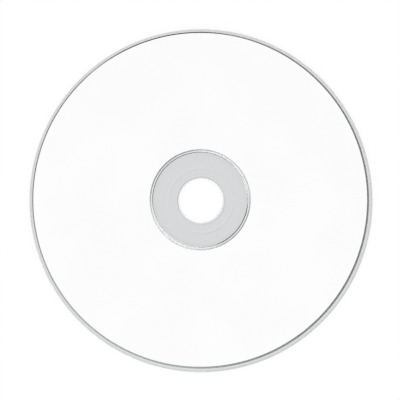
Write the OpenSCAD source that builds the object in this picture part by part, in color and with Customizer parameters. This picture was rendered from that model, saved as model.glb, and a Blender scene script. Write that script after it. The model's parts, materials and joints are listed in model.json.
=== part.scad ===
// Printable compact disc, lying label side up on its stacking ring.
// Origin: on the centre hole's axis, at the surface that the ring stands on. +Z points out of the label side.
// A clear moulded body carries a mirror film, a lacquer that seals the film's edges, and a white print coat.

/* [Disc body] */
// Outer diameter of the disc
disc_d = 120; // [80:1:160]
// Thickness of the clear body between its two plain faces
body_t = 1.2; // [1:0.05:2]
// Radius that rounds both edges of the outer rim
rim_round = 0.2; // [0.05:0.05:0.45]

/* [Hub] */
// Diameter of the centre hole
bore_d = 15; // [8:0.5:20]
// Chamfer at both ends of the centre hole
bore_chamfer = 0.3; // [0.1:0.05:0.35]
// Width of the sunken collar that the gate cutter leaves round the hole
collar_w = 0.8; // [0.5:0.1:1.2]
// Drop from the insert's land to the collar, on the label side
collar_drop = 0.05; // [0.02:0.01:0.08]
// Diameter of the mould's centre insert, which leaves a witness on both sides
insert_d = 22.8; // [22.6:0.1:30]
// Drop from the clamping land to the insert's land, on the label side
insert_drop = 0.02; // [0.01:0.01:0.05]
// Width of the insert's witness groove, on the read side
witness_w = 0.2; // [0.1:0.05:0.3]
// Depth of the insert's witness groove, on the read side
witness_depth = 0.03; // [0.01:0.01:0.06]
// Diameter of the clamping land, which ends at the step that the stamper leaves
clamp_d = 32.2; // [31:0.1:40]
// Drop from the stamped surface to the clamping land, on the label side
clamp_drop = 0.03; // [0.01:0.01:0.05]

/* [Stacking ring] */
// Width of the raised ring on the read side
stack_w = 1; // [0.6:0.1:1.5]
// Height of the raised ring, which holds stacked discs apart
stack_h = 0.25; // [0.15:0.05:0.4]
// Radius that rounds both edges of the ring's foot
stack_round = 0.1; // [0.02:0.01:0.14]
// Gap from the clamping land's diameter out to the ring, measured on the radius
stack_gap = 2.2; // [1:0.1:4]

/* [Mirror film] */
// Thickness of the mirror film, drawn thicker than the real sputtered metal
film_t = 0.01; // [0.005:0.005:0.05]
// Distance from the clamping land out to the film's inner edge
film_inset = 1.05; // [1:0.05:3]
// Distance from the disc's rim in to the film's outer edge
film_margin = 1.1; // [0.9:0.05:3]
// Outer mask's offset to the right of the hole's axis
film_shift_x = -0.17; // [-0.2:0.01:0.2]
// Outer mask's offset away from the viewer
film_shift_y = 0.16; // [-0.2:0.01:0.2]

/* [Lacquer] */
// Thickness of the clear lacquer over the mirror film
lacquer_t = 0.01; // [0.005:0.005:0.05]
// Distance that the lacquer runs past the film's inner edge, towards the hole
lacquer_lap = 0.6; // [0.4:0.05:0.6]
// Distance from the disc's rim in to the lacquer's outer edge
lacquer_margin = 0.5; // [0.45:0.05:0.6]

/* [Print coat] */
// Thickness of the white ink-receiving coat
print_t = 0.03; // [0.01:0.005:0.1]
// Distance from the film's inner edge out to the print's inner edge
print_inset = 0.65; // [0.3:0.05:5]
// Distance from the film's outer edge in to the print's outer edge
print_margin = 0.52; // [0.5:0.01:5]
// Offset of the print's screen to the right of the hole's axis, which the coats' inner edges share
print_shift_x = -0.29; // [-0.3:0.01:0.3]
// Offset of the print's screen away from the viewer, which the coats' inner edges share
print_shift_y = 0.3; // [-0.3:0.01:0.3]

/* [Hidden] */
$fn = 256;

disc_r = disc_d / 2;
bore_r = bore_d / 2;
collar_r = bore_r + collar_w;
insert_r = insert_d / 2;
clamp_r = clamp_d / 2;
stack_in_r = clamp_r + stack_gap;

// Heights: the ring's foot is at zero, the read side above it, then the stamped surface and the coats
read_z = stack_h;
stamped_z = read_z + body_t;
clamp_z = stamped_z - clamp_drop;
insert_z = clamp_z - insert_drop;
collar_z = insert_z - collar_drop;
print_z = stamped_z + film_t + lacquer_t;

film_in_r = clamp_r + film_inset;
film_out_r = disc_r - film_margin;
film_shift = [film_shift_x, film_shift_y];
lacquer_in_r = film_in_r - lacquer_lap;
lacquer_out_r = disc_r - lacquer_margin;
print_in_r = film_in_r + print_inset;
print_out_r = film_out_r - print_margin;
print_shift = [print_shift_x, print_shift_y];

// How far a cutting shape runs past the surface that it cuts
past = 0.5;

// A bar from the axis outwards whose outer end has both corners rounded
module round_ended_bar(length, height, round) {
    square([length - round, height]);
    translate([length - 2 * round, round])
        square([2 * round, height - 2 * round]);
    for (z = [round, height - round])
        translate([length - round, z])
            circle(r = round);
}

// A foot whose two lower corners are rounded, its root at the height given
module round_footed_bar(width, height, round) {
    translate([0, round])
        square([width, height - round]);
    translate([round, 0])
        square([width - 2 * round, height]);
    for (x = [round, width - round])
        translate([x, round])
            circle(r = round);
}

// The triangle that a chamfer takes off an edge of the hole, opening up or down
module chamfer_cut(edge_z, up) {
    polygon([
        [bore_r - past, edge_z + up * past],
        [bore_r - past, edge_z - up * (bore_chamfer + past)],
        [bore_r + bore_chamfer + past, edge_z + up * past]
    ]);
}

// A shallow drop in the label side, from the axis out to a radius
module label_drop(radius, floor_z) {
    translate([0, floor_z])
        square([radius, stamped_z - floor_z + past]);
}

// Half section of the moulded body, on the +X side of the axis
module body_section() {
    difference() {
        union() {
            translate([0, read_z])
                round_ended_bar(disc_r, body_t, rim_round);
            translate([stack_in_r, 0])
                round_footed_bar(stack_w, stack_h + body_t / 2, stack_round);
        }
        translate([0, -past])
            square([bore_r, stamped_z + 2 * past]);
        label_drop(collar_r, collar_z);
        label_drop(insert_r, insert_z);
        label_drop(clamp_r, clamp_z);
        translate([insert_r, read_z - past])
            square([witness_w, witness_depth + past]);
        chamfer_cut(collar_z, 1);
        chamfer_cut(read_z, -1);
    }
}

// A flat ring of film, its two edges each on their own centre
module film_ring(in_r, out_r, thickness, in_shift, out_shift) {
    difference() {
        translate(out_shift)
            cylinder(h = thickness, r = out_r);
        translate([in_shift.x, in_shift.y, -past])
            cylinder(h = thickness + 2 * past, r = in_r);
    }
}

// Injection-moulded body: one revolved section
module clear_body() {
    color("lightsteelblue", 0.5)
        rotate_extrude()
            body_section();
}

// Sputtered mirror over the recording layer, laid through a pair of masks
module mirror_film() {
    color("silver")
        translate([0, 0, stamped_z])
            film_ring(film_in_r, film_out_r, film_t, print_shift, film_shift);
}

// Spun lacquer: it covers the film and reaches the body past both of its edges
module lacquer() {
    color("gainsboro", 0.5)
        difference() {
            translate([0, 0, stamped_z])
                film_ring(lacquer_in_r, lacquer_out_r, film_t + lacquer_t, print_shift, [0, 0]);
            translate([0, 0, stamped_z - film_t])
                film_ring(film_in_r, film_out_r, 2 * film_t, print_shift, film_shift);
        }
}

// Screen-printed white coat, on top of the lacquer
module print_coat() {
    color("white")
        translate([0, 0, print_z])
            film_ring(print_in_r, print_out_r, print_t, print_shift, print_shift);
}

clear_body();
mirror_film();
lacquer();
print_coat();
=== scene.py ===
"""Blank white printable compact disc, seen from straight above on a pale floor."""

import json
import math

import bmesh
import bpy
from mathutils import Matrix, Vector


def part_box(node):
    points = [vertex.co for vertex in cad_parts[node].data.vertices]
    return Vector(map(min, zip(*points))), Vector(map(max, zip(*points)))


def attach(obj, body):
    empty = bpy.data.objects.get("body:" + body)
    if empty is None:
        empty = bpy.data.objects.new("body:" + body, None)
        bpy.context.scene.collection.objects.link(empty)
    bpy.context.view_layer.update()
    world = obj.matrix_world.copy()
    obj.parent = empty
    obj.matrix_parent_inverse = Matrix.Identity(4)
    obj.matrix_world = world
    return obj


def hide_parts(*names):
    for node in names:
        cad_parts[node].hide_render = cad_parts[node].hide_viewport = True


bl_info = {
    "name": "Printable Disc",
    "version": (1, 0, 0),
    "blender": (4, 5, 0),
    "location": "View3D > Sidebar > Disc",
    "description": "Builds a printable compact disc and the studio that it is shown in",
    "category": "Object",
}

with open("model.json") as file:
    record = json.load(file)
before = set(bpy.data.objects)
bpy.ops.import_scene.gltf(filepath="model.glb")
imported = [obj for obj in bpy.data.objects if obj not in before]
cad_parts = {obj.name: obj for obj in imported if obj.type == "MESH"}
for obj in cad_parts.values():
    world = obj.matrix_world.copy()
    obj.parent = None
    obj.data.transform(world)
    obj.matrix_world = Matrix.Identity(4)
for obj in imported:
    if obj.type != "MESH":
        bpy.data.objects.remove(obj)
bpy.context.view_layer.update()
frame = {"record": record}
BODY = "root"
MM = 0.001
WHITE = (1.0, 1.0, 1.0, 1.0)
# Steps round the disc, on a round corner and across the lacquer's bead.
SEGMENTS = 512
ROUND_STEPS = 4
BEAD_STEPS = 16
# Share of the bead's width over which its inner side rises.
BEAD_RISE = 0.25
# Edges that bend more than this stay sharp.
SHARP_ANGLE = math.radians(35)
# Radius of the circle that an outline is swept along.
PATH_RADIUS = 1.0 * MM
# Points of an outline that are closer than this are one point.
SAME_PLACE = 0.0002 * MM
# The name of the ring map for baking, and the least height of a strip on it.
RING_MAP = "OFBake"
LEAST_BAND = 0.004
# Polycarbonate's index of refraction.
PLASTIC_INDEX = 1.585
# Width of the camera's sensor, in millimetres, and how far it sees, in metres.
SENSOR_WIDTH = 36.0
SIGHT_END = 20.0


def mount(name):
    """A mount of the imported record, by name."""
    return next(m for m in frame["record"]["mounts"] if m["name"] == name)


def ring_of(node):
    """A coat's outer radius and the place of its centre, from its box."""
    low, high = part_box(node)
    radius = (high[0] - low[0]) / 2
    return radius, ((low[0] + high[0]) / 2, (low[1] + high[1]) / 2)


BODY_LOW, BODY_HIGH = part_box("clear_body")
FILM_LOW, FILM_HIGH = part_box("mirror_film")
LACQUER_LOW, LACQUER_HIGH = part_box("lacquer")
PRINT_LOW, PRINT_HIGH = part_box("print_coat")
DISC_R, _ = ring_of("clear_body")
FILM_R, FILM_CENTRE = ring_of("mirror_film")
LACQUER_R, _ = ring_of("lacquer")
PRINT_R, PRINT_CENTRE = ring_of("print_coat")
BORE_R = mount("centre_bore")["dims"]["r_mm"] * MM
READ_Z = mount("clamp_face_read")["pos_m"][2]
CLAMP_Z = mount("clamp_face_label")["pos_m"][2]
STAMPED_Z = BODY_HIGH[2]


def length(name, description, default):
    """A size in metres, shown in the scene's own unit."""
    return bpy.props.FloatProperty(
        name=name, description=description, default=default, min=0.0, precision=5,
        subtype="DISTANCE", unit="LENGTH",
    )


def amount(name, description, default, low=0.0, high=1.0):
    """A plain number with soft limits."""
    return bpy.props.FloatProperty(
        name=name, description=description, default=default, soft_min=low, soft_max=high, precision=4,
    )


def angle(name, description, degrees, low=-360.0, high=360.0):
    """An angle, with its default and its limits given in degrees."""
    return bpy.props.FloatProperty(
        name=name, description=description, default=math.radians(degrees), min=math.radians(low),
        max=math.radians(high), subtype="ANGLE", unit="ROTATION",
    )


def tint(name, description, default):
    """A colour."""
    return bpy.props.FloatVectorProperty(
        name=name, description=description, default=default, size=3, min=0.0, max=1.0, subtype="COLOR",
    )


class DiscBodySizes(bpy.types.PropertyGroup):
    """Sizes of the moulded body that its box doesn't give."""

    segments: bpy.props.IntProperty(
        name="Segments", description="Steps round the disc", default=SEGMENTS, min=64, max=1024,
    )
    bore_chamfer: length("Bore Chamfer", "Chamfer at both ends of the centre hole", 0.3 * MM)
    collar_radius: length("Collar Radius", "Outer radius of the sunken collar round the hole", 8.3 * MM)
    collar_drop: length("Collar Drop", "Step from the insert's land down to the collar", 0.05 * MM)
    insert_radius: length("Insert Radius", "Radius of the mould insert's witness", 11.4 * MM)
    insert_drop: length("Insert Drop", "Step from the clamping land down to the insert's land", 0.02 * MM)
    witness_width: length("Witness Width", "Width of the insert's groove on the read side", 0.2 * MM)
    witness_depth: length("Witness Depth", "Depth of the insert's groove on the read side", 0.03 * MM)
    clamp_radius: length("Clamp Radius", "Outer radius of the clamping land", 16.1 * MM)
    stack_inner: length("Stacking Ring Inner Radius", "Inner radius of the stacking ring", 18.3 * MM)
    stack_outer: length("Stacking Ring Outer Radius", "Outer radius of the stacking ring", 19.3 * MM)
    stack_round: length("Stacking Ring Round", "Round on the edges of the ring's foot", 0.1 * MM)
    rim_round: length("Rim Round", "Round on both edges of the outer rim", 0.2 * MM)
    corner_round: length("Corner Round", "Round that the mould leaves on its small steps", 0.02 * MM)


class DiscCoatSizes(bpy.types.PropertyGroup):
    """Sizes of the film, the lacquer and the print that their boxes don't give."""

    film_inner: length("Film Inner Radius", "Inner radius of the mirror film", 17.15 * MM)
    lacquer_inner: length("Lacquer Inner Radius", "Inner radius of the lacquer", 16.55 * MM)
    bead_width: length("Bead Width", "Width of the bead at the lacquer's inner edge", 0.26 * MM)
    bead_height: length("Bead Height", "How far that bead stands up from the lacquer", 0.014 * MM)
    print_inner: length("Print Inner Radius", "Inner radius of the white print", 17.8 * MM)
    ink_skirt: length("Ink Skirt", "Thin ink that runs inwards past the print's edge", 0.2 * MM)
    skin_gap: length("Skin Gap", "Hair's breadth that keeps touching faces apart", 0.003 * MM)
    print_round: length("Print Edge Round", "Round on the print's upper edges", 0.012 * MM)
    data_inner: length("Recording Area Inner Radius", "Where the recording track starts", 22.4 * MM)
    data_outer: length("Recording Area Outer Radius", "Where the recording track ends", 58.2 * MM)


class DiscLooks(bpy.types.PropertyGroup):
    """Colours and finishes."""

    plastic: tint("Clear Plastic", "Colour of light through one pass of the body", (0.78, 0.784, 0.793))
    bore_satin: amount("Bore Satin", "How matt the punched bore and its chamfers are", 0.4)
    rim_satin: amount("Rim Satin", "How matt the outer rim's wall is", 0.25)
    # Painted shadow in the clear rim, deepest at the lower right.
    rim_shadow: amount("Rim Smoke", "Light that the clear rim's darkest part lets through", 0.885)
    step_shine: amount("Step Shine", "Light and shade beside the hub's moulded steps", 0.058)
    film: tint("Mirror Film", "Colour of the metal and dye", (0.68, 0.74, 0.73))
    lacquer: tint("Lacquer", "Colour of the lacquer's milkiness", (0.93, 0.93, 0.935))
    roll: tint("Film Roll", "Colour of the raised roll along the film's inner edge", (0.5, 0.53, 0.53))
    roll_width: length("Film Roll Width", "Width of the raised roll along the film's inner edge", 0.4 * MM)
    roll_slope: angle("Film Roll Slope", "Steepest slope on that roll", 15, 0, 60)
    roll_satin: amount("Film Roll Satin", "How rough that roll is", 0.24)
    film_satin: amount("Film Satin", "How rough the bare film is", 0.12)
    track_pitch: amount("Track Pitch", "Pitch of the recording track, in micrometres", 1.6, 0.5, 3.0)
    fringe: amount("Fringe", "Share of light that each coloured fringe of the track takes", 0.05, 0.0, 0.15)
    lacquer_solid: amount("Lacquer Milkiness", "How much the lacquer veils what is under it", 0.55)
    lacquer_over: amount("Milkiness Over Film", "How much it veils the film's inner edge", 0.24)
    lacquer_rim: amount("Milkiness At Rim", "How much it veils the film's outer edge", 0.035)
    # The bead's three colours are painted: its deepest painted shade, a lighter painted shade, and a painted
    # highlight.
    bead: tint("Lacquer Bead", "Colour of the lacquer's bead where it is thick", (0.05, 0.051, 0.053))
    bead_light_shade: tint("Thin Lacquer Bead", "Colour of that bead where it is thin", (0.48, 0.485, 0.49))
    bead_highlight: tint("Pale Lacquer Bead", "Colour of its two pale stretches", (0.82, 0.825, 0.83))
    # Painted shade: a short dark stretch on the film's outer edge, at the top.
    pool: tint("Lacquer Pool", "Colour of the short thick stretch at the outer edge", (0.06, 0.06, 0.06))
    print_white: tint("Print White", "Colour of the white print", (0.955, 0.955, 0.955))
    print_grain: length("Print Grain", "Size of the coat's tooth", 0.09 * MM)


class DiscStage(bpy.types.PropertyGroup):
    """Camera, floor and lamps."""

    view_width: length("View Width", "Width that the picture takes in at the print", 139.9 * MM)
    camera_height: length("Camera Height", "Camera's height over the floor", 1.25)
    centre_right: length("Centre Right", "How far right of the picture's centre the disc lies", 0.36 * MM)
    centre_down: length("Centre Down", "How far below the picture's centre the disc lies", 0.245 * MM)
    bar_width: length("Bar Width", "Width of the dark bar overhead, which shiny faces mirror", 0.8)
    bar_length: length("Bar Length", "Length of that bar", 3.6)
    bar_height: length("Bar Height", "Height of that bar over the floor", 2.4)
    bar_shift: length("Bar Shift", "How far that bar lies off the disc's axis", 0.27)
    bar_azimuth: angle("Bar Azimuth", "Direction in which that bar is shifted", 52)
    bar_dark: tint("Bar Colour", "Colour of that bar", (0.02, 0.02, 0.022))
    floor_width: length("Floor Width", "Width of the floor both ways", 8.0)
    floor_gap: length("Floor Gap", "Hair's breadth between the floor and the stacking ring's foot", 0.02 * MM)
    floor_white: tint("Floor", "Colour of the floor", (0.985, 0.985, 0.985))
    floor_glow: amount("Floor Glow", "Share of the floor that shows plain white, whatever lies on it", 0.8)
    sky: amount("Sky", "Strength of the even light from all round", 0.52, 0.0, 2.0)
    lamp_width: length("Lamp Width", "Width of both lamps along the floor", 1.8)
    lamp_depth: length("Lamp Depth", "Width of both lamps the other way", 0.8)
    lamp_distance: length("Lamp Distance", "How far both lamps are from the disc", 1.6)
    lamp_elevation: angle("Lamp Elevation", "How steeply both lamps shine down", 58, 0, 90)
    key_power: amount("Key Lamp", "Power of the soft key lamp, in watts", 10.55, 0.0, 100.0)
    key_azimuth: angle("Key Azimuth", "Direction of the key lamp, from +X towards +Y", 233)
    fill_power: amount("Fill Lamp", "Power of the soft fill lamp, in watts", 7.3, 0.0, 100.0)
    fill_azimuth: angle("Fill Azimuth", "Direction of the fill lamp, from +X towards +Y", 42)


class Wire:
    """A node's socket that Python's operators work on."""

    def __init__(self, bench, socket):
        self.bench = bench
        self.socket = socket

    def maths(self, operation, *others):
        """A Math node on this socket and others."""
        return self.bench.add("ShaderNodeMath", {"operation": operation}, dict(enumerate((self, *others))))

    def __add__(self, other):
        return self.maths("ADD", other)

    def __sub__(self, other):
        return self.maths("SUBTRACT", other)

    def __mul__(self, other):
        return self.maths("MULTIPLY", other)

    def __truediv__(self, other):
        return self.maths("DIVIDE", other)

    def __pow__(self, other):
        return self.maths("POWER", other)

    def __rsub__(self, other):
        return self.bench.add("ShaderNodeMath", {"operation": "SUBTRACT"}, {0: other, 1: self})

    def __abs__(self):
        return self.maths("ABSOLUTE")

    __radd__ = __add__
    __rmul__ = __mul__

    def clamp(self):
        """Held between 0 and 1."""
        return self.bench.add("ShaderNodeClamp", {}, {"Value": self})

    def step(self, low, high):
        """Smoothly 0 below low and 1 above high."""
        return self.bench.add(
            "ShaderNodeMapRange", {"interpolation_type": "SMOOTHSTEP"},
            {"Value": self, "From Min": low, "From Max": high},
        )

    def past(self, edge, fade):
        """0 before an edge and 1 past it. The fade holds its start and end, measured from the edge."""
        return self.step(edge + fade[0], edge + fade[1])

    def swing(self, side, low, high):
        """On a turn: high towards one side of the disc, low on the other side, and even between them."""
        lean = (self - math.radians(side)).maths("COSINE")
        return lean * ((high - low) / 2) + (high + low) / 2

    def arc(self, side, full, end):
        """On a turn: 1 within full degrees of one side of the disc, and 0 from end degrees on."""
        lean = (self - math.radians(side)).maths("COSINE")
        return lean.step(math.cos(math.radians(end)), math.cos(math.radians(full)))


class Bench:
    """A node tree, and the one way in which its nodes are made."""

    def __init__(self, tree):
        self.tree = tree

    def add(self, kind, settings=None, inputs=None, output=0):
        """Adds a node: its settings first, then the values or links of its sockets."""
        node = self.tree.nodes.new(kind)
        for name, value in (settings or {}).items():
            setattr(node, name, value)
        for name, value in (inputs or {}).items():
            self.put(node.inputs[name], value)
        return Wire(self, node.outputs[output])

    def put(self, socket, value):
        """Links a socket, or sets it."""
        if isinstance(value, Wire):
            self.tree.links.new(value.socket, socket)
        elif socket.type == "RGBA" and len(value) == 3:
            socket.default_value = (*value, 1.0)
        else:
            socket.default_value = value


class Paint(Bench):
    """One material and its nodes."""

    def __init__(self, name):
        self.material = bpy.data.materials.new(name)
        self.material.use_nodes = True
        super().__init__(self.material.node_tree)
        self.tree.nodes.clear()

    def blend(self, factor, one, two):
        """Colour that goes from one to two with factor. Inputs 6 and 7 and output 2 are the colours."""
        return self.add("ShaderNodeMix", {"data_type": "RGBA"}, {"Factor": factor, 6: one, 7: two}, output=2)

    def mix(self, factor, one, two):
        """Shader that goes from one to two with factor."""
        return self.add("ShaderNodeMixShader", {}, {0: factor, 1: one, 2: two})

    def polar(self, centre):
        """Distance from a centre, in metres, the turn round it, in radians, and the place."""
        place = self.add("ShaderNodeTexCoord", output="Object")
        apart = self.add("ShaderNodeSeparateXYZ", {}, {0: place}).socket.node.outputs
        x = Wire(self, apart["X"]) - centre[0]
        y = Wire(self, apart["Y"]) - centre[1]
        radius = (x * x + y * y).maths("SQRT")
        return radius, y.maths("ARCTAN2", x), place

    def line(self, radius, middle, half):
        """A soft ring: 1 at a radius, and 0 at half a width from it."""
        return 1.0 - abs(radius - middle).step(0.0, half)

    def ripple(self, radius, pitch):
        """Waves along the radius, from -1 to 1."""
        return (radius * (2 * math.pi / pitch)).maths("SINE")

    def noise(self, place, cells, detail=2.0, roughness=0.5):
        """Noise from 0 to 1 with a number of cells to the metre."""
        return self.add(
            "ShaderNodeTexNoise", {},
            {"Vector": place, "Scale": cells, "Detail": detail, "Roughness": roughness},
        )

    def bump(self, height, strength=1.0, distance=1.0):
        """Normals of a relief. Its height is in distances of so many metres."""
        return self.add("ShaderNodeBump", {}, {"Strength": strength, "Distance": distance, "Height": height})

    def ray(self, kind):
        """1 for rays of one kind, else 0."""
        return self.add("ShaderNodeLightPath", output=kind)

    def finish(self, shader):
        """Sends a shader to the material's output."""
        output = self.tree.nodes.new("ShaderNodeOutputMaterial")
        self.tree.links.new(shader.socket, output.inputs["Surface"])
        return self.material


def corner(r, z, size=0.0):
    """A corner of an outline and the round on it."""
    return r, z, size


def rounded(corners, guard):
    """A closed outline with arcs for its round corners, and a guard point on the flats beside each arc."""
    points = []
    count = len(corners)
    for index, (r, z, size) in enumerate(corners):
        if not size:
            points.append((r, z))
            continue
        legs = []
        for other in (corners[index - 1], corners[(index + 1) % count]):
            reach = math.hypot(other[0] - r, other[1] - z)
            legs.append(((other[0] - r) / reach, (other[1] - z) / reach))
        (ax, az), (bx, bz) = legs
        half = math.acos(max(-1.0, min(1.0, ax * bx + az * bz))) / 2
        back = size / math.tan(half)
        middle = math.hypot(ax + bx, az + bz)
        centre = size / math.sin(half)
        cx = r + (ax + bx) / middle * centre
        cz = z + (az + bz) / middle * centre
        start = math.atan2(z + az * back - cz, r + ax * back - cx)
        end = math.atan2(z + bz * back - cz, r + bx * back - cx)
        sweep = (end - start + math.pi) % (2 * math.pi) - math.pi
        points.append((r + ax * (back + guard), z + az * (back + guard)))
        for step in range(ROUND_STEPS + 1):
            turn = start + sweep * step / ROUND_STEPS
            points.append((cx + size * math.cos(turn), cz + size * math.sin(turn)))
        points.append((r + bx * (back + guard), z + bz * (back + guard)))
    return [point for i, point in enumerate(points) if math.dist(point, points[i - 1]) > SAME_PLACE]


def lathe_tree():
    """Geometry Nodes: sweeps a closed outline round the axis, and shifts each point by its own centre."""
    tree = bpy.data.node_groups.new("Disc Lathe", "GeometryNodeTree")
    for name, kind, default in (
        ("Outline", "NodeSocketGeometry", None), ("Segments", "NodeSocketInt", SEGMENTS),
        ("Path Radius", "NodeSocketFloat", PATH_RADIUS), ("Sharp Angle", "NodeSocketFloat", SHARP_ANGLE),
        ("Surface", "NodeSocketMaterial", None),
    ):
        socket = tree.interface.new_socket(name=name, in_out="INPUT", socket_type=kind)
        if default is not None:
            socket.default_value = default
    tree.interface.new_socket(name="Geometry", in_out="OUTPUT", socket_type="NodeSocketGeometry")

    bench = Bench(tree)
    given = {socket.name: Wire(bench, socket) for socket in tree.nodes.new("NodeGroupInput").outputs}
    profile = bench.add("GeometryNodeMeshToCurve", {}, {"Mesh": given["Outline"]})
    path = bench.add(
        "GeometryNodeCurvePrimitiveCircle", {},
        {"Resolution": given["Segments"], "Radius": given["Path Radius"]},
    )
    solid = bench.add("GeometryNodeCurveToMesh", {}, {"Curve": path, "Profile Curve": profile})
    centre = bench.add(
        "GeometryNodeInputNamedAttribute", {"data_type": "FLOAT_VECTOR"}, {"Name": "centre"},
        output="Attribute",
    )
    solid = bench.add("GeometryNodeSetPosition", {}, {"Geometry": solid, "Offset": centre})
    solid = bench.add("GeometryNodeSetShadeSmooth", {}, {"Geometry": solid})
    bend = bench.add("GeometryNodeInputMeshEdgeAngle", output="Unsigned Angle")
    sharp = bench.add(
        "FunctionNodeCompare", {"data_type": "FLOAT", "operation": "GREATER_THAN"},
        {0: bend, 1: given["Sharp Angle"]},
    )
    solid = bench.add(
        "GeometryNodeSetShadeSmooth", {"domain": "EDGE"},
        {"Geometry": solid, "Selection": sharp, "Shade Smooth": False},
    )
    solid = bench.add("GeometryNodeRealizeInstances", {}, {"Geometry": solid})
    solid = bench.add("GeometryNodeSetMaterial", {}, {"Geometry": solid, "Material": given["Surface"]})
    tree.links.new(solid.socket, tree.nodes.new("NodeGroupOutput").inputs["Geometry"])
    return tree


def bands_of(outline):
    """Where each strip of an outline starts on the ring map. A wide strip gets less than its share."""
    count = len(outline)
    reach = [math.dist(outline[i], outline[(i + 1) % count]) ** 0.5 for i in range(count)]
    spare = (1.0 - LEAST_BAND * count) / sum(reach)
    starts = [0.0]
    for part in reach:
        starts.append(starts[-1] + LEAST_BAND + part * spare)
    return starts


def lay_ring_map(mesh, outline):
    """Adds a map with the turn along one side and the outline along the other, so fine rings bake well."""
    count = len(outline)
    starts = bands_of(outline)
    if sum(a[0] * b[1] - b[0] * a[1] for a, b in zip(outline, outline[1:] + outline[:1])) < 0:
        starts = [1.0 - start for start in starts]
    step = [round(v.value) for v in mesh.attributes["step"].data]
    centre = [v.vector[:2] for v in mesh.attributes["centre"].data]
    around = []
    for vertex, (x, y) in zip(mesh.vertices, centre):
        turn = math.atan2(vertex.co.y - y, vertex.co.x - x) / (2 * math.pi)
        around.append(round(turn, 6) % 1.0)
    layer = mesh.uv_layers.new(name=RING_MAP)
    for face in mesh.polygons:
        corners = [(loop, mesh.loops[loop].vertex_index) for loop in face.loop_indices]
        steps = [step[vertex] for _, vertex in corners]
        last = max(steps) - min(steps) > 1
        turns = [around[vertex] for _, vertex in corners]
        seam = max(turns) - min(turns) > 0.5
        for (loop, vertex), at, turn in zip(corners, steps, turns):
            row = count if last and at == 0 else at
            layer.uv[loop].vector = (turn + 1.0 if seam and turn < 0.5 else turn, starts[row])


def lathe(name, outline, centres, material, segments, ring_map=True):
    """A solid of revolution from an outline of (radius, height), each point round its own centre."""
    wire = bpy.data.meshes.new(name + "_outline")
    count = len(outline)
    flat = [(r - PATH_RADIUS, -z, 0.0) for r, z in outline]
    wire.from_pydata(flat, [(i, (i + 1) % count) for i in range(count)], [])
    centre = wire.attributes.new("centre", "FLOAT_VECTOR", "POINT")
    centre.data.foreach_set("vector", [v for x, y in centres for v in (x, y, 0.0)])
    step = wire.attributes.new("step", "FLOAT", "POINT")
    step.data.foreach_set("value", range(count))
    source = bpy.data.objects.new(name + "_source", wire)
    bpy.context.scene.collection.objects.link(source)
    tree = bpy.data.node_groups.get("Disc Lathe") or lathe_tree()
    turn = source.modifiers.new("Lathe", "NODES")
    turn.node_group = tree
    sockets = {item.name: item.identifier for item in tree.interface.items_tree if item.in_out == "INPUT"}
    turn[sockets["Segments"]] = segments
    turn[sockets["Path Radius"]] = PATH_RADIUS
    turn[sockets["Sharp Angle"]] = SHARP_ANGLE
    turn[sockets["Surface"]] = material
    graph = bpy.context.evaluated_depsgraph_get()
    mesh = bpy.data.meshes.new_from_object(source.evaluated_get(graph), depsgraph=graph)
    bpy.data.objects.remove(source)
    bpy.data.meshes.remove(wire)
    mesh.name = name
    grid = bmesh.new()
    grid.from_mesh(mesh)
    bmesh.ops.recalc_face_normals(grid, faces=grid.faces)
    grid.to_mesh(mesh)
    grid.free()
    if ring_map:
        lay_ring_map(mesh, outline)
    for own in ("centre", "step"):
        mesh.attributes.remove(mesh.attributes[own])
    piece = bpy.data.objects.new(name, mesh)
    bpy.context.scene.collection.objects.link(piece)
    return piece


def settle(piece, node):
    """Hands a finished piece to the frame in place of its node."""
    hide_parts(node)
    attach(piece, BODY)


# Sides of the disc are in degrees from +X towards +Y. An arc has the side of its middle, and how many degrees
# from there it is still full and where it ends. The lacquer's bead carries painted shade, deepest at the
# lower right, grey opposite and a little dark at the top, and painted highlights beside the deepest arc and
# at the lower left.
# Painted shade darkens a short stretch of the film's outer edge at the top. The painted shade at the collar's
# step is darkest at the upper left.
SHADE_ARC = (-38.0, 25.8, 36.9)
GREY_ARC = (142.0, 31.8, 60.0)
TOP_ARC = (70.0, 11.5, 31.8)
PALE_ARC = (-38.0, 54.5, 67.7)
LOW_PALE_ARC = (234.0, 14.1, 28.4)
RIM_SHADE_ARC = (103.0, 11.5, 31.8)
COLLAR_SHADE_ARC = (135.0, 41.4, 90.0)
# The side at right angles to which the lacquer carries painted highlights, and the sides towards which the
# lacquer over the film grows milky (leaving painted shade on the film at the far side), the rim's painted
# shadow deepens and the hub's steps light.
BEAD_SIDE = -38.0
LACQUER_SIDE = -50.0
SHADOW_SIDE = -65.0
LIGHT_SIDE = -45.0
# Fades: where a band starts and ends, from an edge.
COLLAR_FADE = (0.0, 0.02 * MM)
CUT_FADE = (0.05 * MM, 0.12 * MM)
SHADOW_FADE = (-0.8 * MM, -0.4 * MM)
WALL_FADE = (-0.05 * MM, -0.03 * MM)
TRACK_FADE = (0.0, 0.1 * MM)
FILM_FADE = (0.02 * MM, 0.09 * MM)
OVER_FADE = (0.0, 0.1 * MM)
SKIRT_FADE = (0.1 * MM, 0.2 * MM)
RIM_SHADE_FADE = (0.3 * MM, 0.4 * MM)
RIM_FADE = (-0.1 * MM, 0.0)
BEAD_FADE = (-0.04 * MM, 0.0)
# Heights between which the body's read side goes over to its label side.
LABEL_SIDE = (0.6 * MM, 0.9 * MM)
# Light and shade beside the hub's steps: which step, how far out from it, half the width, and how strong.
STEP_LIGHTS = (
    ("insert_radius", -0.5 * MM, 0.6 * MM, 1.0),
    ("insert_radius", 0.25 * MM, 0.45 * MM, -1.4),
    ("collar_radius", 0.9 * MM, 0.4 * MM, 0.5),
    ("collar_radius", 0.45 * MM, 0.35 * MM, -1.6),
)
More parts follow.
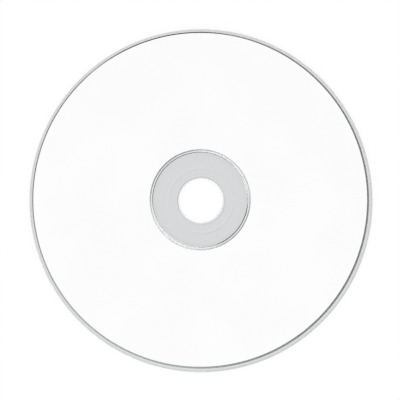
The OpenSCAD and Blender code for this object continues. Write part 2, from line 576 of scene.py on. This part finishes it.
# The painted shade lines at the collar's step and at the bead's foot: half their width, their colour and
# their strengths.
LINE_HALF = 0.13 * MM
LINE_DARK = (0.1, 0.1, 0.1)
COLLAR_SHADE_LEAST = 0.4
COLLAR_SHADE_MORE = 0.5
FOOT_SHADE = 0.55
FOOT_INSET = 0.02 * MM
# The ripples and the cells of the moulded and the frosted plastic, of the film and of the print.
POLISH_PITCH = 0.35 * MM
POLISH_RIPPLE = 0.25
POLISH_CELLS = 900.0
FROST_CELLS = 9000.0
HAZE_PITCH = 0.9 * MM
HAZE_RIPPLE = 0.15
HAZE_CELLS = 60.0
CLOUD_CELLS = 40.0
# The wavelengths whose fringes the track throws, in micrometres, and their colours.
WAVES = ((0.65, (1.0, 0.0, 0.0)), (0.54, (0.0, 1.0, 0.0)), (0.45, (0.0, 0.0, 1.0)))
# How milky the lacquer is everywhere; how much more it is on the two sides at right angles to the bead's
# side, as painted highlights; how much more on the shaded arc; and how solid the painted shade at the outer
# edge is.
MILK_LEAST = 0.05
MILK_HIGHLIGHTS = 0.35
MILK_ON_SHADE_ARC = 0.1
MILK_RIM_SHADE = 0.4
# How solid the bead is.
BEAD_SOLID = 0.95
# Share of the milk over the film that is lost on the shaded arc, and that is left at the upper left: both
# leave painted shade on the film's inner strip.
SHADE_CLEARS = 0.4
SHADED_SIDE_KEEPS = 0.2
# How dark the bead's painted shade is on its grey and its top arc, and how pale its painted highlight is on
# its lower one.
GREY_BEAD = 0.5
TOP_BEAD = 0.4
LOW_BEAD = 0.35
# Where the ink's skirt is solid, inwards from the print's edge.
SKIRT_SOLID = 0.04 * MM


def clear_plastic(looks, sizes, coats):
    """Polished polycarbonate: it bends sight, and lets the lamps through to what is under it."""
    paint = Paint("clear_plastic")
    radius, turn, place = paint.polar((0.0, 0.0))
    ring, print_turn, _ = paint.polar(PRINT_CENTRE)
    above = paint.add("ShaderNodeSeparateXYZ", {}, {0: place}, output="Z").step(*LABEL_SIDE)
    collar = 1.0 - radius.past(sizes.collar_radius, COLLAR_FADE)
    cut = 1.0 - radius.past(BORE_R + sizes.bore_chamfer, CUT_FADE)
    plain = tuple(looks.plastic)
    twice = tuple(c * c for c in plain)
    shadow_tint = tuple(c * looks.rim_shadow for c in plain)
    colour = paint.blend(collar, plain, paint.blend(above, WHITE, twice))
    # Painted highlight: within the bore's chamfers the plastic's tint is taken away, so the chamfer ring
    # shows whiter.
    colour = paint.blend(cut, colour, WHITE)
    light = sum(
        paint.line(radius, getattr(sizes, step) + out, half) * strength
        for step, out, half, strength in STEP_LIGHTS
    )
    light = 1.0 + light * turn.swing(LIGHT_SIDE, -1.0, 1.0) * above * looks.step_shine
    colour = paint.add("ShaderNodeVectorMath", {"operation": "SCALE"}, {0: colour, "Scale": light})
    # Painted shade: a dark line along the collar's step, darkest at the upper left, and one at the foot of
    # the lacquer's bead on the lower right.
    collar_shade = paint.line(radius, sizes.collar_radius, LINE_HALF) * (turn.arc(*COLLAR_SHADE_ARC) * COLLAR_SHADE_MORE + COLLAR_SHADE_LEAST)
    foot = paint.line(ring, coats.lacquer_inner - FOOT_INSET, LINE_HALF) * print_turn.arc(*SHADE_ARC)
    colour = paint.blend(((collar_shade + foot * FOOT_SHADE) * above).clamp(), colour, LINE_DARK)
    # Painted shadow: the clear rim darkens towards the lower right.
    painted_shadow = radius.past(DISC_R, SHADOW_FADE) * turn.swing(SHADOW_SIDE, 0.0, 1.0)
    colour = paint.blend(painted_shadow, colour, shadow_tint)
    relief = paint.ripple(radius, POLISH_PITCH) * POLISH_RIPPLE + paint.noise(place, POLISH_CELLS)
    body = paint.add(
        "ShaderNodeBsdfPrincipled", {},
        {
            "Base Color": colour, "Roughness": 0.02, "IOR": PLASTIC_INDEX, "Transmission Weight": 1.0,
            "Normal": paint.bump(relief, 0.05, 0.002 * MM),
        },
    )
    satin = paint.add(
        "ShaderNodeBsdfPrincipled", {},
        {
            "Base Color": (0.985, 0.987, 0.99), "Roughness": 0.45,
            "Normal": paint.bump(paint.noise(place, FROST_CELLS), 0.3, 0.01 * MM),
        },
    )
    wall = radius.past(DISC_R, WALL_FADE)
    body = paint.mix(cut * looks.bore_satin + wall * looks.rim_satin, body, satin)
    through = tuple(c ** 0.5 * 0.97 for c in looks.plastic)
    passing = paint.add("ShaderNodeBsdfTransparent", {}, {"Color": through})
    shown = paint.mix(paint.ray("Is Shadow Ray"), body, passing)
    return paint.finish(paint.mix(paint.ray("Is Diffuse Ray"), shown, passing))


def film_metal(looks, sizes):
    """Silver film: a plain mirror at its edges, and over its dye a grooved track that fans out colours."""
    paint = Paint("silver_film")
    radius, _, place = paint.polar(FILM_CENTRE)
    inner, _, _ = paint.polar(PRINT_CENTRE)
    across = ((inner - sizes.film_inner) / looks.roll_width).clamp() * math.pi
    swell = across.maths("SINE") ** 2.0 * (looks.roll_width / math.pi * math.tan(looks.roll_slope))
    roll = 1.0 - inner.step(sizes.film_inner + looks.roll_width, sizes.film_inner + looks.roll_width * 1.1)
    clean = tuple(min(1.0, c * 1.08) for c in looks.film)
    bare = paint.add(
        "ShaderNodeBsdfPrincipled", {},
        {
            "Base Color": paint.blend(roll, clean, tuple(looks.roll)), "Metallic": 1.0,
            "Roughness": roll * (looks.roll_satin - looks.film_satin) + looks.film_satin,
            "Normal": paint.bump(swell),
        },
    )
    haze = paint.noise(place, HAZE_CELLS)
    shade = (paint.ripple(radius, HAZE_PITCH) * HAZE_RIPPLE + haze).clamp()
    track = paint.add(
        "ShaderNodeBsdfPrincipled", {},
        {
            "Base Color": paint.blend(shade, tuple(looks.film), tuple(c * 0.97 for c in looks.film)),
            "Metallic": 1.0, "Roughness": haze * 0.04 + 0.16,
            "Anisotropic": 0.7, "Anisotropic Rotation": 0.25,
        },
    )
    total = 1.0 - 2 * len(WAVES) * looks.fringe
    for wave, tone in WAVES:
        lean = math.tan(math.asin(wave / looks.track_pitch / PLASTIC_INDEX) / 2)
        for way in (lean, -lean):
            fringe = paint.add(
                "ShaderNodeBsdfAnisotropic", {},
                {"Color": tone, "Roughness": 0.12, "Normal": paint.bump(radius * way)},
            )
            total += looks.fringe
            track = paint.mix(looks.fringe / total, track, fringe)
    data = radius.past(sizes.data_inner, TRACK_FADE) * (1.0 - radius.past(sizes.data_outer, TRACK_FADE))
    return paint.finish(paint.mix(data, bare, track))


def lacquer_coat(looks, sizes):
    """Clear lacquer, milky where it runs out past the print, with a raised bead along its inner edge. The
    bead's colour is painted shade and painted highlight.
    """
    paint = Paint("gloss_lacquer")
    radius, turn, _ = paint.polar(PRINT_CENTRE)
    lean = turn.swing(BEAD_SIDE, -1.0, 1.0)
    shaded = turn.arc(*SHADE_ARC)
    inside = 1.0 - radius.past(sizes.film_inner, FILM_FADE)
    over = (1.0 - radius.past(sizes.print_inner, OVER_FADE)) * (1.0 - inside)
    rim = radius.past(PRINT_R, RIM_FADE)
    # Painted highlights make the band milkier on the two sides at right angles to the bead's side; it is also
    # milkier on the shaded arc.
    band = inside * ((1.0 - lean * lean) * MILK_HIGHLIGHTS + shaded * MILK_ON_SHADE_ARC + looks.lacquer_solid)
    # Painted shade on the film's inner strip: less milk over it on the shaded arc and towards the upper left.
    film = over * (1.0 - shaded * SHADE_CLEARS) * looks.lacquer_over + rim * looks.lacquer_rim
    skirt = radius.step(sizes.print_inner - sizes.ink_skirt, sizes.print_inner - SKIRT_SOLID)
    skirt = skirt * (1.0 - radius.past(sizes.print_inner, SKIRT_FADE))
    # Painted shade darkens a short stretch of the film's outer edge at the top.
    pool = turn.arc(*RIM_SHADE_ARC) * rim * (1.0 - radius.past(PRINT_R, RIM_SHADE_FADE))
    milk = band + film * turn.swing(LACQUER_SIDE, SHADED_SIDE_KEEPS, 1.0) + MILK_LEAST + skirt + pool * MILK_RIM_SHADE

    bead = 1.0 - radius.past(sizes.lacquer_inner + sizes.bead_width, BEAD_FADE)
    # The bead's colour is painted shade, deepest on the shaded arc, grey opposite and a little dark at the
    # top, with painted highlights beside the shaded arc and at the lower left.
    dark = shaded + turn.arc(*GREY_ARC) * GREY_BEAD + turn.arc(*TOP_ARC) * TOP_BEAD
    pale = turn.arc(*PALE_ARC) * (1.0 - shaded) + turn.arc(*LOW_PALE_ARC) * LOW_BEAD
    ridge = paint.blend(dark, tuple(looks.bead_light_shade), tuple(looks.bead))
    ridge = paint.blend(pale.clamp(), ridge, tuple(looks.bead_highlight))
    colour = paint.blend(pool, tuple(looks.lacquer), tuple(looks.pool))
    veil = paint.add("ShaderNodeMapRange", {}, {"Value": bead, "To Min": milk.clamp(), "To Max": BEAD_SOLID})
    coat = paint.add(
        "ShaderNodeBsdfPrincipled", {},
        {"Base Color": paint.blend(bead, colour, ridge), "Metallic": bead, "Roughness": 0.25, "Alpha": veil},
    )
    return paint.finish(coat)


def white_print(looks):
    """Matte white ink-receiving coat with a fine tooth."""
    paint = Paint("white_print")
    place = paint.add("ShaderNodeTexCoord", output="Object")
    tooth = paint.noise(place, 1.0 / looks.print_grain, detail=3.0, roughness=0.6)
    cloud = paint.noise(place, CLOUD_CELLS).step(0.35, 0.65)
    pale = tuple(looks.print_white)
    dim = tuple(c * 0.985 for c in pale)
    coat = paint.add(
        "ShaderNodeBsdfPrincipled", {},
        {
            "Base Color": paint.blend(cloud, dim, pale), "Roughness": tooth * 0.2 + 0.6,
            "Specular IOR Level": 0.3, "Normal": paint.bump(tooth, 0.35, 0.01 * MM),
        },
    )
    return paint.finish(coat)


class DISC_OT_body(bpy.types.Operator):
    """Turn the clear moulded body from its half section"""

    bl_idname = "disc.body"
    bl_label = "Clear Body"

    def execute(self, context):
        s = context.scene.disc_body
        looks = context.scene.disc_looks
        small = s.corner_round
        bevel = s.bore_chamfer
        insert_z = CLAMP_Z - s.insert_drop
        collar_z = insert_z - s.collar_drop
        foot_z = BODY_LOW[2]
        section = rounded([
            corner(BORE_R + bevel, READ_Z, 2 * small),
            corner(BORE_R, READ_Z + bevel, 2 * small),
            corner(BORE_R, collar_z - bevel, 2 * small),
            corner(BORE_R + bevel, collar_z, 2 * small),
            corner(s.collar_radius, collar_z, small),
            corner(s.collar_radius, insert_z, small),
            corner(s.insert_radius, insert_z, small / 4),
            corner(s.insert_radius, CLAMP_Z, small / 4),
            corner(s.clamp_radius, CLAMP_Z, small / 2),
            corner(s.clamp_radius, STAMPED_Z, small / 2),
            corner(DISC_R, STAMPED_Z, s.rim_round),
            corner(DISC_R, READ_Z, s.rim_round),
            corner(s.stack_outer, READ_Z, small),
            corner(s.stack_outer, foot_z, s.stack_round),
            corner(s.stack_inner, foot_z, s.stack_round),
            corner(s.stack_inner, READ_Z, small),
            corner(s.insert_radius + s.witness_width, READ_Z, small / 2),
            corner(s.insert_radius + s.witness_width, READ_Z + s.witness_depth),
            corner(s.insert_radius, READ_Z + s.witness_depth),
            corner(s.insert_radius, READ_Z, small / 2),
        ], guard=small / 4)
        centres = [(0.0, 0.0)] * len(section)
        material = clear_plastic(looks, s, context.scene.disc_coats)
        piece = lathe("clear_moulding", section, centres, material, s.segments)
        settle(piece, "clear_body")
        return {"FINISHED"}


class DISC_OT_film(bpy.types.Operator):
    """Lay the mirror film, a hair into the body so that no face meets another"""

    bl_idname = "disc.film"
    bl_label = "Mirror Film"

    def execute(self, context):
        s = context.scene.disc_coats
        segments = context.scene.disc_body.segments
        low, high = FILM_LOW[2] - s.skin_gap, FILM_HIGH[2] - s.skin_gap
        section = [(s.film_inner, low), (FILM_R, low), (FILM_R, high), (s.film_inner, high)]
        centres = [PRINT_CENTRE, FILM_CENTRE, FILM_CENTRE, PRINT_CENTRE]
        piece = lathe("silver_film", section, centres, film_metal(context.scene.disc_looks, s), segments)
        settle(piece, "mirror_film")
        return {"FINISHED"}


class DISC_OT_lacquer(bpy.types.Operator):
    """Flow the lacquer over the film and past both of its edges"""

    bl_idname = "disc.lacquer"
    bl_label = "Lacquer"

    def execute(self, context):
        s = context.scene.disc_coats
        segments = context.scene.disc_body.segments
        low, high = LACQUER_LOW[2] + s.skin_gap, LACQUER_HIGH[2] - s.skin_gap
        over = FILM_HIGH[2] + s.skin_gap
        middle = (0.0, 0.0)
        points = [
            (s.lacquer_inner, low, PRINT_CENTRE), (s.film_inner - s.skin_gap, low, PRINT_CENTRE),
            (s.film_inner - s.skin_gap, over, PRINT_CENTRE), (FILM_R + s.skin_gap, over, FILM_CENTRE),
            (FILM_R + s.skin_gap, low, FILM_CENTRE), (LACQUER_R, low, middle),
            (LACQUER_R, high, middle),
        ]
        for step in range(BEAD_STEPS):
            share = 1.0 - step / BEAD_STEPS
            r = s.lacquer_inner + s.bead_width * share
            z = low + (high - low) * min(1.0, share / BEAD_RISE) + s.bead_height * math.sin(math.pi * share)
            points.append((r, z, PRINT_CENTRE))
        section = [(r, z) for r, z, _ in points]
        centres = [centre for _, _, centre in points]
        material = lacquer_coat(context.scene.disc_looks, s)
        piece = lathe("lacquer_coat", section, centres, material, segments)
        settle(piece, "lacquer")
        return {"FINISHED"}


class DISC_OT_print(bpy.types.Operator):
    """Print the white coat, with soft upper edges"""

    bl_idname = "disc.print"
    bl_label = "White Print"

    def execute(self, context):
        s = context.scene.disc_coats
        segments = context.scene.disc_body.segments
        low, high = PRINT_LOW[2], PRINT_HIGH[2]
        section = rounded([
            corner(s.print_inner, low),
            corner(PRINT_R, low),
            corner(PRINT_R, high, s.print_round),
            corner(s.print_inner, high, s.print_round),
        ], guard=s.print_round / 4)
        material = white_print(context.scene.disc_looks)
        centres = [PRINT_CENTRE] * len(section)
        piece = lathe("white_coat", section, centres, material, segments, ring_map=False)
        settle(piece, "print_coat")
        return {"FINISHED"}


def flat_sheet(name, width, depth, height, material, shift=0.0, azimuth=0.0):
    """A flat sheet at a height, turned to an azimuth and shifted that way off the disc's axis."""
    out = Vector((math.cos(azimuth), math.sin(azimuth), 0))
    along = Vector((-math.sin(azimuth), math.cos(azimuth), 0))
    middle = out * shift + Vector((0, 0, height))
    ends = ((-1, -1), (1, -1), (1, 1), (-1, 1))
    mesh = bpy.data.meshes.new(name)
    mesh.from_pydata(
        [middle + out * (x * width / 2) + along * (y * depth / 2) for x, y in ends], [], [(0, 1, 2, 3)],
    )
    mesh.materials.append(material)
    sheet = bpy.data.objects.new(name, mesh)
    bpy.context.scene.collection.objects.link(sheet)
    return sheet


def soft_lamp(name, power, size, azimuth, elevation, distance):
    """An oval soft lamp that points at the disc. Azimuth runs from +X towards +Y."""
    lamp = bpy.data.lights.new(name, "AREA")
    lamp.shape = "ELLIPSE"
    lamp.size, lamp.size_y = size
    lamp.energy = power
    holder = bpy.data.objects.new(name, lamp)
    flat = math.cos(elevation) * distance
    holder.location = (flat * math.cos(azimuth), flat * math.sin(azimuth), math.sin(elevation) * distance)
    holder.rotation_euler = (-holder.location).to_track_quat("-Z", "Y").to_euler()
    bpy.context.scene.collection.objects.link(holder)
    return holder


class DISC_OT_stage(bpy.types.Operator):
    """Set the floor, the lamps, the sky and the camera"""

    bl_idname = "disc.stage"
    bl_label = "Studio"

    def execute(self, context):
        s = context.scene.disc_stage
        scene = context.scene
        floor = Paint("pale_floor")
        chalk = floor.add("ShaderNodeBsdfDiffuse", {}, {"Color": tuple(s.floor_white)})
        glow = floor.add("ShaderNodeEmission", {}, {"Color": WHITE, "Strength": 1.0})
        seen = floor.ray("Is Camera Ray") + floor.ray("Is Glossy Ray") + floor.ray("Is Transmission Ray")
        share = seen.clamp() * s.floor_glow
        below = floor.add("ShaderNodeNewGeometry", output="Backfacing")
        gone = floor.add("ShaderNodeBsdfTransparent", {}, {"Color": WHITE})
        one_sided = floor.mix(below, floor.mix(share, chalk, glow), gone)
        flat_sheet("floor", s.floor_width, s.floor_width, -s.floor_gap, floor.finish(one_sided))

        card = Paint("dark_card")
        black = card.finish(card.add("ShaderNodeBsdfDiffuse", {}, {"Color": tuple(s.bar_dark)}))
        overhead = flat_sheet(
            "overhead_bar", s.bar_width, s.bar_length, s.bar_height, black, s.bar_shift, s.bar_azimuth,
        )
        overhead.visible_camera = False
        overhead.visible_shadow = False
        overhead.visible_diffuse = False
        overhead.visible_transmission = False

        world = bpy.data.worlds.new("studio")
        world.use_nodes = True
        background = world.node_tree.nodes["Background"]
        background.inputs["Color"].default_value = WHITE
        background.inputs["Strength"].default_value = s.sky
        scene.world = world

        size = (s.lamp_width, s.lamp_depth)
        soft_lamp("key", s.key_power, size, s.key_azimuth, s.lamp_elevation, s.lamp_distance)
        soft_lamp("fill", s.fill_power, size, s.fill_azimuth, s.lamp_elevation, s.lamp_distance)

        lens = bpy.data.cameras.new("camera")
        lens.sensor_width = SENSOR_WIDTH
        lens.lens = SENSOR_WIDTH * (s.camera_height - PRINT_HIGH[2]) / s.view_width
        lens.clip_end = SIGHT_END
        camera = bpy.data.objects.new("camera", lens)
        camera.location = (-s.centre_right, s.centre_down, s.camera_height)
        scene.collection.objects.link(camera)
        scene.camera = camera
        scene.view_settings.view_transform = "Standard"
        return {"FINISHED"}


class DISC_PT_panel(bpy.types.Panel):
    """Lists the disc's pieces and their sizes"""

    bl_label = "Printable Disc"
    bl_idname = "DISC_PT_panel"
    bl_space_type = "VIEW_3D"
    bl_region_type = "UI"
    bl_category = "Disc"

    def draw(self, context):
        for title, group, steps in PARTS:
            box = self.layout.box()
            box.label(text=title)
            settings = getattr(context.scene, group)
            for name in settings.bl_rna.properties.keys():
                if name not in ("rna_type", "name"):
                    box.prop(settings, name)
            for step in steps:
                box.operator(step.bl_idname)


PARTS = (
    ("Body", "disc_body", (DISC_OT_body,)),
    ("Coats", "disc_coats", (DISC_OT_film, DISC_OT_lacquer, DISC_OT_print)),
    ("Looks", "disc_looks", ()),
    ("Studio", "disc_stage", (DISC_OT_stage,)),
)
GROUPS = {
    "disc_body": DiscBodySizes, "disc_coats": DiscCoatSizes,
    "disc_looks": DiscLooks, "disc_stage": DiscStage,
}
CLASSES = (
    *GROUPS.values(), DISC_OT_body, DISC_OT_film, DISC_OT_lacquer, DISC_OT_print, DISC_OT_stage,
    DISC_PT_panel,
)


def register():
    """Adds the disc's classes and settings to Blender."""
    for cls in CLASSES:
        bpy.utils.register_class(cls)
    for name, group in GROUPS.items():
        setattr(bpy.types.Scene, name, bpy.props.PointerProperty(type=group))


def unregister():
    """Takes them away again."""
    for name in GROUPS:
        delattr(bpy.types.Scene, name)
    for cls in reversed(CLASSES):
        bpy.utils.unregister_class(cls)


def main():
    """Builds the disc and its studio."""
    register()
    bpy.ops.disc.body()
    bpy.ops.disc.film()
    bpy.ops.disc.lacquer()
    bpy.ops.disc.print()
    bpy.ops.disc.stage()


if __name__ == "__main__":
    main()
